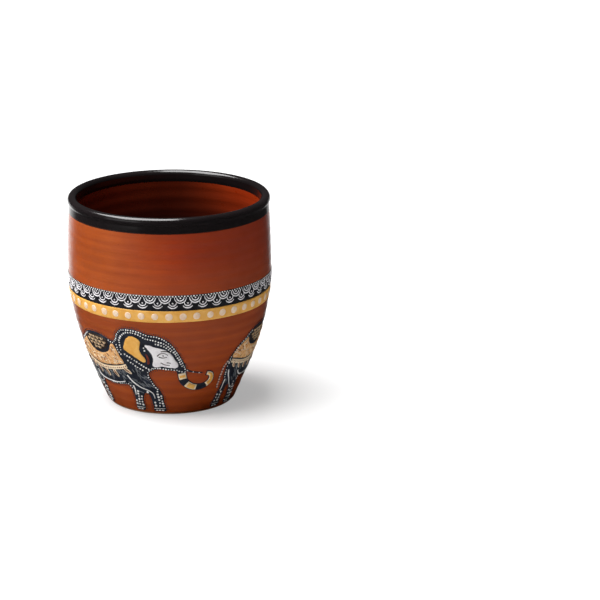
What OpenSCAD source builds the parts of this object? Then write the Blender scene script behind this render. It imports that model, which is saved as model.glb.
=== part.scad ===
// Thrown clay kulhad cup: terracotta glaze outside, darker glaze inside, black lip,
// a fish-scale band, a dotted ochre band and a frieze of walking elephants.
// Millimetres, +Z up, origin at the middle of the foot, on the surface it stands on.
// The front faces -Y, and angles run from the front towards +X.

/* [Cup] */
// Height from the table to the crest of the lip
cup_height = 79.7; // [72:0.1:92]
// Outer radius of the foot
foot_radius = 24; // [20:0.5:28]
// Largest outer radius, at the belly
belly_radius = 38.4; // [35:0.1:43]
// Height at which the wall stops flaring
belly_height = 51; // [44:1:58]
// Fullness of the lower wall: low is round, high is straight
wall_fullness = 1.9; // [1.2:0.1:3]
// How far the wall leans back in between the belly and the lip
shoulder_draw = 1; // [0:0.1:2]
// Thickness of the wall with its glaze, measured level
wall_thickness = 3; // [2.4:0.1:4]
// Thickness of the floor with its glaze
floor_thickness = 4.5; // [3:0.1:7]
// Height of the round between wall and floor, inside
corner_height = 8; // [4:0.5:14]
// Reach of that round over the floor
corner_reach = 7; // [4:0.5:12]

/* [Lip] */
// Radius of the rolled lip's bead
lip_bead_radius = 1.7; // [1.5:0.05:2.2]
// How far the bead stands out past the wall
lip_overhang = 0.57; // [0.2:0.01:0.9]
// Facets of the bead, from the neck outside to the wall inside
lip_facets = 15; // [9:3:30]

/* [Foot] */
// Width of the foot ring
foot_ring_width = 3.6; // [2.5:0.1:6]
// Depth of the turned recess inside the foot ring
foot_recess = 1.6; // [0.8:0.1:3]
// Bevel on the foot ring's inner side
foot_inner_bevel = 1.2; // [0.4:0.1:2]
// Bevel on the foot ring's outer edge
foot_edge = 0.35; // [0.2:0.05:0.5]

/* [Throwing rings] */
// Distance from one ring to the next
ring_pitch = 3.8; // [2.5:0.1:6]
// Height of the lowest ring
ring_start = 1.85; // [1.5:0.05:4]
// Depth of the groove between two rings
ring_depth = 0.15; // [0.05:0.01:0.3]

/* [Glaze] */
// Thickness of each glaze
glaze_thickness = 0.25; // [0.15:0.01:0.4]
// Height at which the outer glaze stops above the table
glaze_edge = 0.8; // [0.6:0.05:1]
// Height of the black band outside, up to the crest
rim_band_outside = 5.9; // [5:0.1:9]
// Height of the black band inside, up to the crest
rim_band_inside = 4.3; // [3.5:0.1:9]

/* [Bands] */
// Thickness of one printed enamel coat
print_thickness = 0.12; // [0.1:0.01:0.2]
// Height of the ochre band's lower edge above the table
ochre_band_low = 40.3; // [39.5:0.1:42]
// Height of the ochre band
ochre_band_height = 4.6; // [3.5:0.1:6]
// Height of the black band of scales
scale_band_height = 6; // [5.6:0.1:8]
// Number of dots round the ochre band
dot_count = 46; // [30:1:50]
// Radius of a dot
dot_radius = 1.32; // [0.8:0.01:1.5]
// Turn of the first dot from the front, in degrees
dot_turn = 2; // [0:0.5:8]
// Number of scales in each row
scale_count = 43; // [30:1:46]
// Outer radius of a scale
scale_radius = 2.42; // [1.8:0.01:2.5]
// Width of a scale's lines
scale_line = 0.46; // [0.3:0.01:0.5]
// Distance from one line of a scale to the next
scale_line_pitch = 0.86; // [0.7:0.01:1]
// Drop from the upper row of scales to the lower one
scale_row_drop = 1.95; // [1.6:0.05:2.2]
// Number of lines in a scale
lines_per_scale = 2; // [1:1:2]
// Radius of the beads along the top of the black band
edge_bead_radius = 0.22; // [0.15:0.01:0.3]
// Beads above each scale
edge_beads_per_scale = 5; // [3:1:6]

/* [Elephants] */
// Number of elephants round the cup
elephant_count = 3; // [1:1:3]
// Angle that one elephant takes up, tail to trunk, in degrees
elephant_span = 120; // [90:1:120]
// Turn of the first elephant's middle from the front, in degrees
elephant_turn = -24; // [-60:1:60]
// Height of the soles above the table
frieze_low = 1.3; // [1.1:0.1:3]
// Height of an elephant, soles to the top of the ear
elephant_height = 35.9; // [30:0.1:37]
// Half width of the trunk at its root
trunk_root_half = 1.9; // [1.4:0.1:2.4]
// Half width of the trunk at its tip
trunk_tip_half = 1.05; // [0.8:0.05:1.4]
// Half width of the tail
tail_half = 0.45; // [0.3:0.05:0.7]
// Half width of the tusk at its root
tusk_half = 0.46; // [0.3:0.01:0.6]
// Dark line left round each patch of colour
patch_margin = 0.35; // [0.2:0.05:0.6]
// Half width of the white contour lines
contour_half = 0.32; // [0.2:0.01:0.4]
// Half width of the fringe under the saddle cloth
fringe_half = 0.8; // [0.4:0.01:0.9]
// Half width of a tassel where it is widest
tassel_half = 0.75; // [0.3:0.05:0.8]
// Radius of the small white beads
bead_radius = 0.28; // [0.2:0.01:0.35]
// Gap under a bead, which clears the grooves between the throwing rings
bead_gap = 0.05; // [0.04:0.01:0.1]
// Radius of a toenail, which is half a disc
toenail_radius = 0.5; // [0.3:0.01:0.5]
// Outer radius of the scales on the saddle cushion
cushion_scale_radius = 0.95; // [0.7:0.05:1.2]

/* [Hidden] */
$fn = 128;

// Length that a cut or a prism runs on past the surface it meets
overrun = 1.5;
// Steps along the inside wall and round its corner with the floor
inner_steps = 14;
corner_steps = 7;
// Steps between two chosen points of a drawn curve
curve_steps = 2;
lip_start_angle = -45;
lip_end_angle = 180;

scale_band_low = ochre_band_low + ochre_band_height;
scale_band_top = scale_band_low + scale_band_height;
rim_low = cup_height - rim_band_outside;
rim_inside_low = cup_height - rim_band_inside;
floor_z = foot_recess + floor_thickness;
corner_top = floor_z + corner_height;
lip_z = cup_height - lip_bead_radius;
elephant_pitch = 360 / elephant_count;

// Outer wall without its rings: it flares from the foot to the belly, then leans back in
function belly_share(u) = ((wall_fullness + 1) * u - pow(u, wall_fullness + 1)) / wall_fullness;
function wall_curve(z) = z < belly_height
    ? foot_radius + (belly_radius - foot_radius) * belly_share(z / belly_height)
    : belly_radius - shoulder_draw * pow((z - belly_height) / (cup_height - belly_height), 2);
function ring_wave(z) = ring_depth / 2 * cos(360 * (z - ring_start) / ring_pitch);
function inner_radius(z) = wall_curve(z) - wall_thickness;

// Heights of the outer wall's vertices: each edge of a coat, and each ring and groove between.
// The wall is smoothed under the two printed bands, so each of them lies on a plain cone.
half_rings = floor(2 * (rim_low - ring_start) / ring_pitch);
ring_heights = [for (k = [0 : half_rings]) ring_start + k * ring_pitch / 2];
edge_clearance = ring_pitch / 8;
function rings_between(low, high) =
    [for (z = ring_heights) if (z > low + edge_clearance && z < high - edge_clearance) z];
wall_heights = concat(
    [glaze_edge],
    rings_between(glaze_edge, frieze_low),
    [frieze_low],
    rings_between(frieze_low, ochre_band_low),
    [ochre_band_low, scale_band_low, scale_band_top],
    rings_between(scale_band_top, rim_low),
    [rim_low]);
function level(z) = search([z], wall_heights)[0];

// The glazed surface as one line, from the glaze's edge at the foot, up, over the lip,
// and down inside to the middle of the floor
lip_centre = [wall_curve(lip_z) + lip_overhang - lip_bead_radius, lip_z];
lip_angle_step = (lip_end_angle - lip_start_angle) / lip_facets;
lip_points = [for (k = [0 : lip_facets])
    let (a = lip_start_angle + k * lip_angle_step)
    lip_centre + lip_bead_radius * [cos(a), sin(a)]];
inner_points = [for (k = [0 : inner_steps])
    let (z = rim_inside_low + (corner_top - rim_inside_low) * k / inner_steps)
    [inner_radius(z), z]];
corner_bend = [inner_radius(floor_z), floor_z];
corner_points = [for (k = [1 : corner_steps])
    let (t = k / corner_steps)
    pow(1 - t, 2) * [inner_radius(corner_top), corner_top]
        + 2 * t * (1 - t) * corner_bend
        + t * t * (corner_bend - [corner_reach, 0])];
skin = concat(
    [for (z = wall_heights) [wall_curve(z) + ring_wave(z), z]],
    lip_points,
    inner_points,
    corner_points,
    [[0, floor_z]]);
rim_first = len(wall_heights) - 1;
rim_last = len(wall_heights) + len(lip_points);
skin_last = len(skin) - 1;

function skin_normal(i) =
    let (along = skin[min(i + 1, skin_last)] - skin[max(i - 1, 0)])
    [along.y, -along.x] / norm(along);
function lifted(i, lift) = skin[i] + lift * skin_normal(i);

// Drawn shapes. A point is given as shares of an elephant's span and height,
// and placed on the wall as an angle and a height.
function placed(p) = [elephant_span * (p.x - 1 / 2), frieze_low + elephant_height * p.y];
function along_curve(a, b, c, d, t) =
    (2 * b + (c - a) * t + (2 * a - 5 * b + 4 * c - d) * t * t + (3 * b - a - 3 * c + d) * pow(t, 3)) / 2;
function closed_curve(p) = [for (i = [0 : len(p) - 1]) for (k = [0 : curve_steps - 1])
    let (n = len(p))
    along_curve(p[(i + n - 1) % n], p[i], p[(i + 1) % n], p[(i + 2) % n], k / curve_steps)];
function open_curve(p) = concat(
    [for (i = [0 : len(p) - 2]) for (k = [0 : curve_steps - 1])
        let (last = len(p) - 1)
        along_curve(p[max(i - 1, 0)], p[i], p[i + 1], p[min(i + 2, last)], k / curve_steps)],
    [p[len(p) - 1]]);
function arc_degrees(length, z) = length / wall_curve(z) * 180 / PI;
function shifted(p, move) = [p.x + arc_degrees(move.x, p.y), p.y + move.y];
function side_of(path, i) =
    let (a = path[max(i - 1, 0)])
    let (b = path[min(i + 1, len(path) - 1)])
    let (run = [(b.x - a.x) * PI / 180 * wall_curve(path[i].y), b.y - a.y])
    [-run.y, run.x] / norm(run);
function blend(a, b, t) = a + (b - a) * t;
// A stroke along a path of placed points, as wide at its start and end as the two half widths say
function stroke(path, start_half, end_half) =
    let (last = len(path) - 1)
    concat(
        [for (i = [0 : last]) shifted(path[i], side_of(path, i) * blend(start_half, end_half, i / last))],
        [for (i = [last : -1 : 0])
            shifted(path[i], -side_of(path, i) * blend(start_half, end_half, i / last))]);
function placed_all(points) = [for (p = points) placed(p)];
function path_of(shares) = placed_all(open_curve(shares));
function outline_of(shares) = placed_all(closed_curve(shares));
// The point of a path at a share of its steps, and the stretch of it between two shares
function spot_on(path, share) =
    let (step = share * (len(path) - 1))
    let (i = min(floor(step), len(path) - 2))
    blend(path[i], path[i + 1], step - i);
function stretch(path, from_share, to_share) =
    let (steps = max(2, round((to_share - from_share) * (len(path) - 1))))
    [for (k = [0 : steps]) spot_on(path, blend(from_share, to_share, k / steps))];

// Elephant, walking to the right
body_shares = [
    [0.060, 0.47], [0.064, 0.56], [0.088, 0.65], [0.125, 0.72], [0.165, 0.775], [0.200, 0.83],
    [0.245, 0.865], [0.300, 0.875], [0.350, 0.862], [0.385, 0.832], [0.408, 0.82], [0.427, 0.86],
    [0.442, 0.93], [0.472, 0.982], [0.517, 0.997], [0.567, 0.982], [0.608, 0.95], [0.655, 0.935],
    [0.698, 0.895], [0.735, 0.82], [0.765, 0.725], [0.789, 0.63], [0.808, 0.54], [0.806, 0.475],
    [0.775, 0.485], [0.742, 0.515], [0.700, 0.525], [0.658, 0.535], [0.624, 0.52], [0.600, 0.485],
    [0.606, 0.42], [0.628, 0.34], [0.655, 0.27], [0.672, 0.19], [0.678, 0.10], [0.689, 0.03],
    [0.680, 0.004], [0.645, 0.004], [0.606, 0.004], [0.594, 0.03], [0.592, 0.12], [0.582, 0.19],
    [0.562, 0.232], [0.543, 0.20], [0.533, 0.12], [0.536, 0.03], [0.527, 0.004], [0.498, 0.004],
    [0.468, 0.004], [0.460, 0.03], [0.468, 0.12], [0.466, 0.22], [0.448, 0.30], [0.400, 0.292],
    [0.330, 0.28], [0.265, 0.285], [0.226, 0.30], [0.214, 0.22], [0.217, 0.12], [0.226, 0.03],
    [0.217, 0.004], [0.185, 0.004], [0.150, 0.004], [0.142, 0.03], [0.146, 0.12], [0.138, 0.205],
    [0.118, 0.25], [0.102, 0.20], [0.093, 0.12], [0.090, 0.03], [0.080, 0.004], [0.052, 0.004],
    [0.022, 0.004], [0.018, 0.035], [0.034, 0.12], [0.052, 0.22], [0.062, 0.32], [0.058, 0.40]];
tail_shares = [[0.064, 0.56], [0.044, 0.50], [0.032, 0.40], [0.028, 0.30], [0.030, 0.24]];
trunk_shares = [[0.772, 0.60], [0.782, 0.49], [0.798, 0.385], [0.838, 0.322], [0.886, 0.300],
    [0.932, 0.315], [0.964, 0.372], [0.958, 0.44], [0.926, 0.462]];
tusk_shares = [[0.796, 0.535], [0.826, 0.505], [0.866, 0.484], [0.904, 0.468]];
cloth_shares = [[0.092, 0.585], [0.104, 0.652], [0.135, 0.70], [0.170, 0.745], [0.192, 0.765],
    [0.205, 0.715], [0.235, 0.665], [0.290, 0.64], [0.345, 0.66], [0.375, 0.71], [0.390, 0.77],
    [0.410, 0.785], [0.424, 0.72], [0.440, 0.64], [0.456, 0.575], [0.430, 0.555], [0.370, 0.53],
    [0.290, 0.51], [0.210, 0.52], [0.150, 0.548]];
cushion_shares = [[0.204, 0.785], [0.225, 0.825], [0.262, 0.845], [0.300, 0.85], [0.340, 0.84],
    [0.368, 0.815], [0.376, 0.775], [0.355, 0.715], [0.315, 0.68], [0.268, 0.678], [0.228, 0.71]];
ear_shares = [[0.474, 0.75], [0.482, 0.815], [0.494, 0.872], [0.516, 0.908], [0.548, 0.90],
    [0.568, 0.862], [0.566, 0.815], [0.560, 0.77], [0.566, 0.72], [0.582, 0.675], [0.589, 0.63],
    [0.576, 0.612], [0.545, 0.65], [0.508, 0.70]];
face_shares = [[0.590, 0.815], [0.612, 0.82], [0.645, 0.80], [0.690, 0.775], [0.722, 0.73],
    [0.742, 0.665], [0.762, 0.59], [0.752, 0.555], [0.715, 0.56], [0.675, 0.575], [0.640, 0.565],
    [0.622, 0.585], [0.630, 0.66], [0.616, 0.745]];
eye_shares = [[0.655, 0.70], [0.668, 0.725], [0.688, 0.725], [0.700, 0.70], [0.683, 0.69]];
fringe_path_shares = [[0.090, 0.545], [0.150, 0.508], [0.210, 0.48], [0.290, 0.47],
    [0.370, 0.49], [0.432, 0.517], [0.468, 0.545]];
// Leaf-shaped tassels: root, widest place and tip of each
tassel_shares = [
    [[0.118, 0.53], [0.122, 0.49], [0.128, 0.45]],
    [[0.170, 0.50], [0.176, 0.46], [0.184, 0.415]],
    [[0.230, 0.478], [0.238, 0.43], [0.248, 0.385]],
    [[0.300, 0.47], [0.309, 0.42], [0.320, 0.372]],
    [[0.366, 0.488], [0.378, 0.437], [0.392, 0.385]],
    [[0.440, 0.53], [0.465, 0.493], [0.492, 0.455]]];
contour_shares = [
    [[0.186, 0.385], [0.198, 0.35], [0.226, 0.32], [0.290, 0.31], [0.370, 0.315], [0.432, 0.345]],
    [[0.085, 0.44], [0.104, 0.35], [0.130, 0.265], [0.154, 0.195]],
    [[0.078, 0.33], [0.074, 0.26], [0.064, 0.195]],
    [[0.458, 0.43], [0.480, 0.37], [0.530, 0.30], [0.580, 0.255], [0.606, 0.20]],
    [[0.482, 0.31], [0.488, 0.25], [0.486, 0.195]]];
// Rows of beads: the points that each row follows, and how many beads it holds
bead_row_shares = [
    [[0.452, 0.79], [0.458, 0.89], [0.490, 0.947], [0.525, 0.955], [0.566, 0.93]],
    [[0.470, 0.70], [0.520, 0.655], [0.570, 0.58], [0.606, 0.53]],
    [[0.606, 0.885], [0.650, 0.878], [0.700, 0.84], [0.738, 0.76], [0.768, 0.66], [0.788, 0.57]],
    [[0.600, 0.15], [0.666, 0.15]],
    [[0.603, 0.07], [0.674, 0.07]],
    [[0.476, 0.15], [0.526, 0.15]],
    [[0.474, 0.07], [0.527, 0.07]],
    [[0.152, 0.15], [0.208, 0.15]],
    [[0.152, 0.07], [0.212, 0.07]],
    [[0.050, 0.15], [0.088, 0.15]],
    [[0.032, 0.07], [0.083, 0.07]]];
bead_row_counts = [15, 12, 18, 5, 5, 4, 4, 4, 4, 3, 4];
// Middles of the toenails, along the span
toenail_shares = [0.616, 0.638, 0.660, 0.482, 0.506, 0.163, 0.187, 0.036, 0.060];
// The trunk's ochre bands: where each starts and ends along the trunk
trunk_band_shares = [[0.13, 0.21], [0.30, 0.47], [0.64, 0.97]];
// Scales on the cushion: the middle of the top row, the step to the next scale and row,
// and how many scales each row holds
cushion_top_share = [0.29, 0.825];
cushion_step_share = [0.03, -0.037];
cushion_row_counts = [4, 5, 4, 2];

// Angle about the front in which a piece of the frieze is cut
front_half = 180;
// Enamel coats that lie on one another at most
most_coats = 3;
outer_reach = belly_radius + most_coats * print_thickness + overrun;

// Turns a profile all the way round, or through an angle about the front
module turned(angle = 360) {
    rotate([0, 0, -90 - angle / 2])
        rotate_extrude(angle = angle)
            children();
}

// A coat between two of the skin's vertices, from one lift to the other
module coat(first, last, low, high, angle = 360) {
    turned(angle)
        polygon(concat(
            [for (i = [first : last]) lifted(i, low)],
            [for (i = [last : -1 : first]) lifted(i, high)]));
}

// What the children cut out of one enamel coat at the front: coat 0 lies on the glaze
module printed(low_edge, high_edge, coat_number, angle) {
    intersection() {
        coat(level(low_edge), level(high_edge),
            coat_number * print_thickness, (coat_number + 1) * print_thickness, angle);
        children();
    }
}

module frieze_print(coat_number) {
    for (k = [0 : elephant_count - 1])
        rotate([0, 0, elephant_turn + k * elephant_pitch])
            printed(frieze_low, ochre_band_low, coat_number, front_half)
                children();
}

// A drawn outline as a prism that runs out through the wall at the front
module drawn(outline) {
    rotate([90, 0, 0])
        linear_extrude(outer_reach)
            polygon([for (p = outline) [wall_curve(p.y) * sin(p.x), p.y]]);
}

// Puts a flat shape on the wall at an angle and a height, facing out
module facing_out(angle, z) {
    rotate([0, 0, angle])
        translate([0, overrun - wall_curve(z), z])
            rotate([90, 0, 0])
                linear_extrude(2 * overrun)
                    children();
}

// A flat bead, square to the wall, resting on the coats printed under it
module wall_bead(angle, z, radius, coats, gap) {
    i = [for (k = [0 : rim_first - 1]) if (skin[k].y <= z && z < skin[k + 1].y) k][0];
    run = skin[i + 1] - skin[i];
    seat = skin[i] + run * (z - skin[i].y) / run.y;
    rotate([0, 0, angle])
        translate([0, -seat.x, seat.y])
            rotate([90 + atan2(run.x, run.y), 0, 0])
                translate([0, 0, coats * print_thickness + gap])
                    cylinder(r = radius, h = print_thickness);
}

// The lower half of a disc, and of a flat ring
module half_disc(radius) {
    reach = radius + overrun;
    intersection() {
        circle(radius);
        translate([-reach, -reach])
            square([2 * reach, reach]);
    }
}

module half_ring(radius, line) {
    difference() {
        half_disc(radius);
        circle(radius - line);
    }
}

module scale_lines() {
    for (k = [0 : lines_per_scale - 1])
        half_ring(scale_radius - k * scale_line_pitch, scale_line);
}

scale_angle = 360 / scale_count;
// The edge beads keep half their radius from the band's edge, and the scales hang under them
edge_bead_z = scale_band_top - edge_bead_radius - edge_bead_radius / 2;
scale_upper_z = scale_band_top - edge_bead_radius - scale_line;
scale_lower_z = scale_upper_z - scale_row_drop;

module clay_body() {
    color("#b0623a")
        turned()
            polygon(concat(
                [[0, foot_recess],
                 [foot_radius - foot_ring_width - foot_inner_bevel, foot_recess],
                 [foot_radius - foot_ring_width, 0],
                 [foot_radius - glaze_thickness - foot_edge, 0],
                 [foot_radius - glaze_thickness, foot_edge]],
                [for (i = [0 : skin_last]) lifted(i, -glaze_thickness)]));
}

module outer_glaze() {
    color("#9a431f")
        coat(0, rim_first, -glaze_thickness, 0);
}

module rim_glaze() {
    color("#15110f")
        coat(rim_first, rim_last, -glaze_thickness, 0);
}

module liner_glaze() {
    color("#7a2a12")
        coat(rim_last, skin_last, -glaze_thickness, 0);
}

module scale_band() {
    color("#191b24")
        coat(level(scale_band_low), level(scale_band_top), 0, print_thickness);
}

module scale_rows_upper() {
    color("#d8d4ce")
        for (k = [0 : scale_count - 1])
            rotate([0, 0, k * scale_angle])
                printed(scale_band_low, scale_band_top, 1, 2 * scale_angle)
                    facing_out(0, scale_upper_z)
                        scale_lines();
}

module scale_rows_lower() {
    half_pitch = wall_curve(scale_lower_z) * sin(scale_angle / 2);
    color("#d8d4ce")
        for (k = [0 : scale_count - 1])
            rotate([0, 0, (k + 1 / 2) * scale_angle])
                printed(scale_band_low, scale_band_top, 1, 2 * scale_angle)
                    facing_out(0, scale_lower_z)
                        difference() {
                            scale_lines();
                            for (side = [-1, 1])
                                translate([side * half_pitch, scale_row_drop])
                                    circle(scale_radius + scale_line);
                        }
}

module scale_edge_beads() {
    bead_total = scale_count * edge_beads_per_scale;
    color("#e6e2da")
        for (k = [0 : bead_total - 1])
            wall_bead((k + 1 / 2) * 360 / bead_total, edge_bead_z, edge_bead_radius, 1, 0);
}

module ochre_band() {
    color("#d9a14e")
        coat(level(ochre_band_low), level(scale_band_low), 0, print_thickness);
}

module band_dots() {
    color("#f0e0d2")
        for (k = [0 : dot_count - 1])
            rotate([0, 0, dot_turn + k * 360 / dot_count])
                printed(ochre_band_low, scale_band_low, 1, 2 * 360 / dot_count)
                    facing_out(0, (ochre_band_low + scale_band_low) / 2)
                        circle(dot_radius);
}

module elephant_bodies() {
    color("#1c222e")
        frieze_print(0) {
            drawn(outline_of(body_shares));
            drawn(stroke(path_of(trunk_shares), trunk_root_half, trunk_tip_half));
            drawn(stroke(path_of(tail_shares), tail_half, tail_half));
            drawn(stroke(path_of(tusk_shares), tusk_half, tusk_half / 2));
        }
}

module saddle_cloths() {
    color("#cf9a55")
        frieze_print(1)
            drawn(outline_of(cloth_shares));
}

module cloth_fringes() {
    color("#e6cfa4")
        frieze_print(1) {
            drawn(stroke(path_of(fringe_path_shares), fringe_half, fringe_half));
            for (leaf = tassel_shares) {
                drawn(stroke(placed_all([leaf[0], leaf[1]]), tassel_half / 2, tassel_half));
                drawn(stroke(placed_all([leaf[1], leaf[2]]), tassel_half, tassel_half / 4));
            }
        }
}

module saddle_cushions() {
    color("#33241f")
        frieze_print(1)
            drawn(outline_of(cushion_shares));
}

module cushion_scales() {
    color("#d8b27a")
        frieze_print(2)
            for (row = [0 : len(cushion_row_counts) - 1])
                for (k = [0 : cushion_row_counts[row] - 1])
                    let (along = k - (cushion_row_counts[row] - 1) / 2)
                    let (step = [along * cushion_step_share.x, row * cushion_step_share.y])
                    let (spot = placed(cushion_top_share + step))
                        facing_out(spot.x, spot.y)
                            half_ring(cushion_scale_radius, scale_line);
}

module ear_patches() {
    color("#dfa04a")
        frieze_print(1)
            drawn(outline_of(ear_shares));
}

module face_patches() {
    color("#d9d4dc")
        frieze_print(1)
            difference() {
                drawn(outline_of(face_shares));
                drawn(outline_of(eye_shares));
            }
}

module trunk_bands() {
    trunk = path_of(trunk_shares);
    color("#e0b060")
        frieze_print(1)
            for (b = trunk_band_shares)
                drawn(stroke(stretch(trunk, b.x, b.y),
                    blend(trunk_root_half, trunk_tip_half, b.x) - patch_margin,
                    blend(trunk_root_half, trunk_tip_half, b.y) - patch_margin));
}

module contour_lines() {
    color("#e8e6ea")
        frieze_print(1)
            for (line = contour_shares)
                drawn(stroke(path_of(line), contour_half, contour_half / 2));
}

module toenails() {
    color("#efece8")
        frieze_print(1)
            for (share = toenail_shares)
                facing_out(placed([share, 0]).x, frieze_low + toenail_radius)
                    rotate(180)
                        half_disc(toenail_radius);
}

module beads() {
    color("#efece8")
        for (k = [0 : elephant_count - 1])
            for (row = [0 : len(bead_row_shares) - 1])
                for (n = [0 : bead_row_counts[row] - 1])
                    let (share = (n + 1 / 2) / bead_row_counts[row])
                    let (spot = spot_on(path_of(bead_row_shares[row]), share))
                        wall_bead(elephant_turn + k * elephant_pitch + spot.x, spot.y, bead_radius,
                            1, bead_gap);
}

clay_body();
outer_glaze();
liner_glaze();
rim_glaze();
scale_band();
scale_rows_upper();
scale_rows_lower();
scale_edge_beads();
ochre_band();
band_dots();
elephant_bodies();
saddle_cloths();
cloth_fringes();
saddle_cushions();
cushion_scales();
ear_patches();
face_patches();
trunk_bands();
contour_lines();
toenails();
beads();
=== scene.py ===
"""Clay kulhad cup, dressed for looks: glazes, enamel prints, floor, light and camera.

Lengths are in millimetres, as in the CAD model, and become metres where a mesh is made.
The front faces -Y. A place on the wall is an angle from the front, in degrees towards +X,
and a height above the floor.
"""

import math
import random

import bpy
import numpy as np
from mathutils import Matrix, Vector
from mathutils.geometry import delaunay_2d_cdt


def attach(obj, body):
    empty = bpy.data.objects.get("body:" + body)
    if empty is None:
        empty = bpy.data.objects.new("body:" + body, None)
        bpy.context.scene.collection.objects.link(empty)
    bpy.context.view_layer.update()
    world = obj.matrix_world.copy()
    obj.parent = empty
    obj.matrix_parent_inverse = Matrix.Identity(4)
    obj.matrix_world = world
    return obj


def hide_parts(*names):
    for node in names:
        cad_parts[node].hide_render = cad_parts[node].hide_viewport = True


MM = 0.001

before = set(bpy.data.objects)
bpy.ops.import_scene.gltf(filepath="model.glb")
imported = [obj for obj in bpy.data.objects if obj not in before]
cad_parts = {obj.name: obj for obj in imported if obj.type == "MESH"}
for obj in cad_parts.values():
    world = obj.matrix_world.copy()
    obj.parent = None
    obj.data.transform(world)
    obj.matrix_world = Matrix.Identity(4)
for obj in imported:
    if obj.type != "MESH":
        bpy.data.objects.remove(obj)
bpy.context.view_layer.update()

# Cup
CUP_HEIGHT = 79.7
FOOT_RADIUS = 24.0
BELLY_RADIUS = 38.4
BELLY_HEIGHT = 51.0
WALL_FULLNESS = 1.9
SHOULDER_DRAW = 1.0
WALL_THICKNESS = 3.0
FLOOR_THICKNESS = 4.5
CORNER_HEIGHT = 8.0
CORNER_REACH = 7.0
FOOT_RING_WIDTH = 3.6
FOOT_RECESS = 1.6
FOOT_INNER_BEVEL = 1.2
FOOT_EDGE = 0.35
LIP_BEAD_RADIUS = 1.7
LIP_OVERHANG = 0.57
# The turn of the lip's bead, in degrees, from under its outer side over the top
LIP_START = -45
LIP_TURN = 225
# How far under the bead's start the outer wall ends, and how far under its middle the inner one starts
LIP_NECK = 1.0
LIP_THROAT = 1.5
FLOOR_Z = FOOT_RECESS + FLOOR_THICKNESS
CORNER_TOP = FLOOR_Z + CORNER_HEIGHT

# Throwing rings
RING_PITCH = 3.8
RING_START = 1.85
RING_DEPTH = 0.15
UPPER_RING_SHARE = 0.6
MOST_RINGS = 100

# Glazes
GLAZE_THICKNESS = 0.25
GLAZE_EDGE = 0.8
GLAZE_OVERLAP = 0.5
RIM_BAND_OUTSIDE = 5.9
RIM_BAND_INSIDE = 4.3
RIM_LIFT = 0.02
RIM_WANDER = 0.12
RIM_INSIDE_TURN = 40
RIM_LOW = CUP_HEIGHT - RIM_BAND_OUTSIDE
RIM_INSIDE_LOW = CUP_HEIGHT - RIM_BAND_INSIDE
# Heights between which painted shade darkens the liner glaze towards the floor
LINER_DEPTH_SHADE_SPAN = (74.0, 60.0)
# Where painted shade darkens it at the back, from the left and from the right, and where painted light
# makes it redder
LINER_SHADE_LEFT = (-20.0, -5.0)
LINER_SHADE_RIGHT = (22.0, 3.0)
LINER_SHADE_BACK = (5.0, 30.0)
LINER_BACK_SHADE = 0.55
LINER_LIT_SPAN = (6.0, 36.0)
# Heights between which it turns from gloss to satin, and the spiral that the fingers left on the floor
LINER_SATIN_SPAN = (62.0, 24.0)
FLOOR_RIPPLE = 0.06
FLOOR_RIPPLE_PITCH = 3.6
FLOOR_RIPPLE_START = (1, 3)
FLOOR_RIPPLE_END = 3
INSIDE_RING_PITCH = 1.3 * RING_PITCH
FLOOR_STEPS = 40
# Painted light and shade: where the outer glaze turns from the lit orange to the shaded red, across and up,
# and where its painted shade is darkest
PAINTED_SHADE_SIDE_SPAN = (-20.0, 4.0)
PAINTED_SHADE_HEIGHT_SPAN = (46.0, 65.0)
PAINTED_DARK_SIDE_X = 30.0
# Extra gloss of the outer glaze where it is seen nearly edge on
EDGE_GLOSS = 0.6
EDGE_GLOSS_SPAN = (0.55, 0.85)

# Bands
PRINT_THICKNESS = 0.12
OCHRE_BAND_LOW = 40.3
OCHRE_BAND_HEIGHT = 4.6
SCALE_BAND_HEIGHT = 6.0
SCALE_BAND_LOW = OCHRE_BAND_LOW + OCHRE_BAND_HEIGHT
SCALE_BAND_TOP = SCALE_BAND_LOW + SCALE_BAND_HEIGHT
DOT_COUNT = 46
DOT_RADIUS = 1.32
DOT_TURN = 2.0
SCALE_COUNT = 43
SCALE_RADIUS = 2.42
SCALE_LINE = 0.46
SCALE_LINE_PITCH = 0.86
SCALE_SEED_RADIUS = 0.3
SCALE_ROW_DROP = 1.95
LINES_PER_SCALE = 2
# Degrees that the upper row hides at each end of the lower row's outer lines
SCALE_HIDDEN = 36
EDGE_BEAD_RADIUS = 0.24
EDGE_BEADS_PER_SCALE = 5
SCALE_UPPER_Z = SCALE_BAND_TOP - EDGE_BEAD_RADIUS - SCALE_LINE
SCALE_LOWER_Z = SCALE_UPPER_Z - SCALE_ROW_DROP

# Elephants
ELEPHANT_COUNT = 3
ELEPHANT_SPAN = 120.0
ELEPHANT_TURN = -24.0
TURNS = [ELEPHANT_TURN + k * 360 / ELEPHANT_COUNT for k in range(ELEPHANT_COUNT)]
FRIEZE_LOW = 1.3
ELEPHANT_HEIGHT = 35.9
TRUNK_ROOT_HALF = 1.9
TRUNK_TIP_HALF = 1.05
TAIL_HALF = 0.45
PATCH_MARGIN = 0.35
CONTOUR_HALF = 0.32
FRINGE_HALF = 0.8
TASSEL_HALF = 0.75
BEAD_RADIUS = 0.32
BEAD_PITCH = 1.0
BEAD_JITTER = 0.1
LEG_BEAD_RADIUS = 0.43
LEG_BEAD_PITCH = 1.15
LEG_TOP = 11.0
BEAD_INSET = 0.62
HALO_RADIUS = 0.21
HALO_DISTANCE = 0.5
HALO_PITCH = 0.85
HALO_LOW = 2.2
TAIL_BEAD_RADIUS = 0.44
TUSK_HALF = 0.46
BAND_BORDER = 0.3
MARK_HALF = 0.13
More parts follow.
